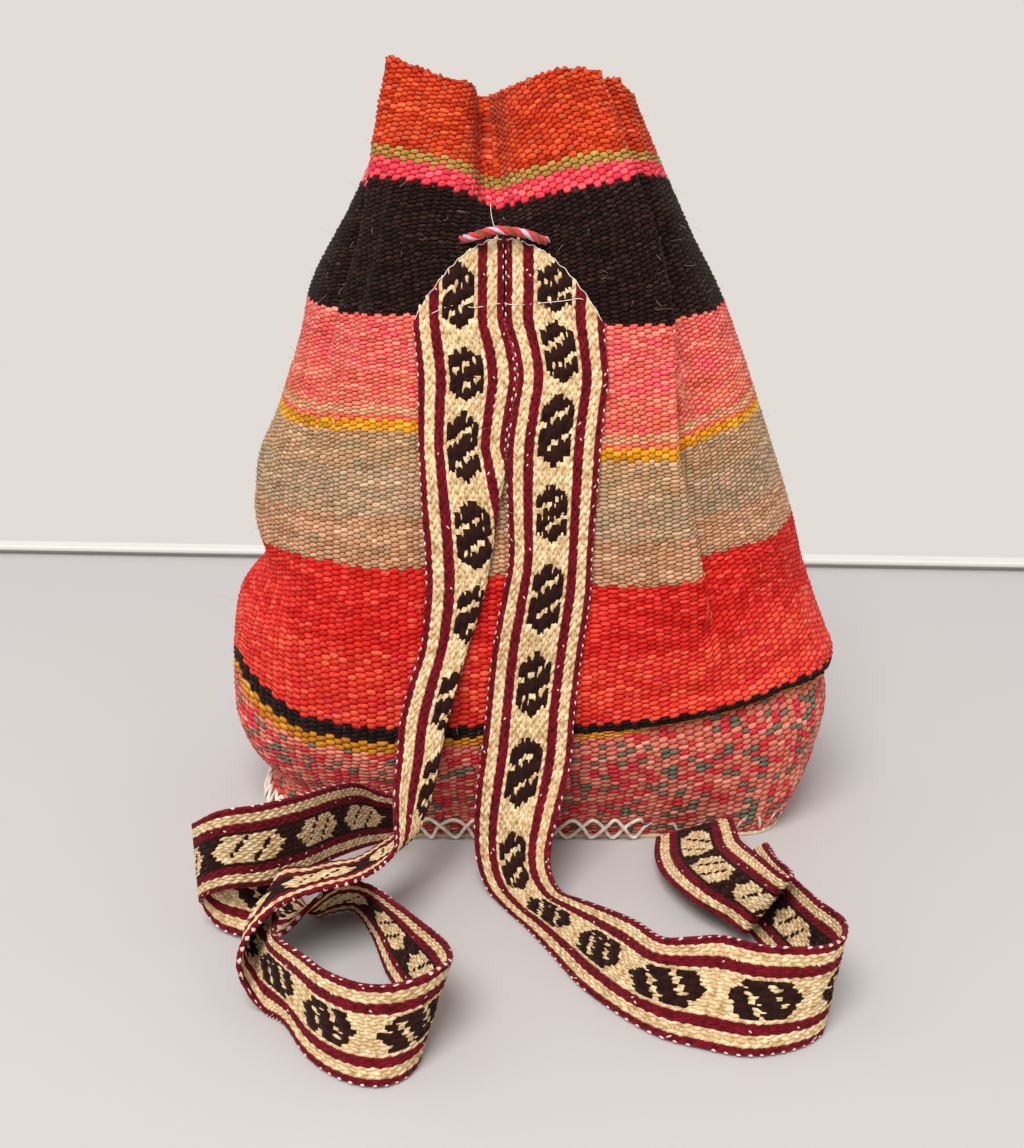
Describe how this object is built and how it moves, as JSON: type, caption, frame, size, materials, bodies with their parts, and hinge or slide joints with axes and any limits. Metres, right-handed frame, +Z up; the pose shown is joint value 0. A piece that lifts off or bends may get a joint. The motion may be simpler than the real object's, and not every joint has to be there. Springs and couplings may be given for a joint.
{
  "type": "woven drawstring backpack",
  "caption": "Woven wool drawstring backpack with a gathered neck, striped cloth and patterned band straps looped on the ground.",
  "frame": {"origin": "middle of the underside of the base panel, on the surface the bag stands on", "axes": "+Z up, -Y towards the side that carries the straps, +X to the right as seen from that side"},
  "size_m": [0.3005, 0.3381, 0.361],
  "materials": {
    "striped wool cloth": "matt, coarse weft-faced weave",
    "cream cotton panel": "matt, plain weave",
    "white wool thread": "matt",
    "patterned strap band": "matt, warp-faced weave",
    "twisted wool cord": "matt"
  },
  "bodies": {
    "root": {"body_cloth": "striped wool cloth", "base_panel": "cream cotton panel", "base_stitching": "white wool thread", "left_strap": "patterned strap band", "right_strap": "patterned strap band", "drawstring": "twisted wool cord"}
  },
  "joints": []
}
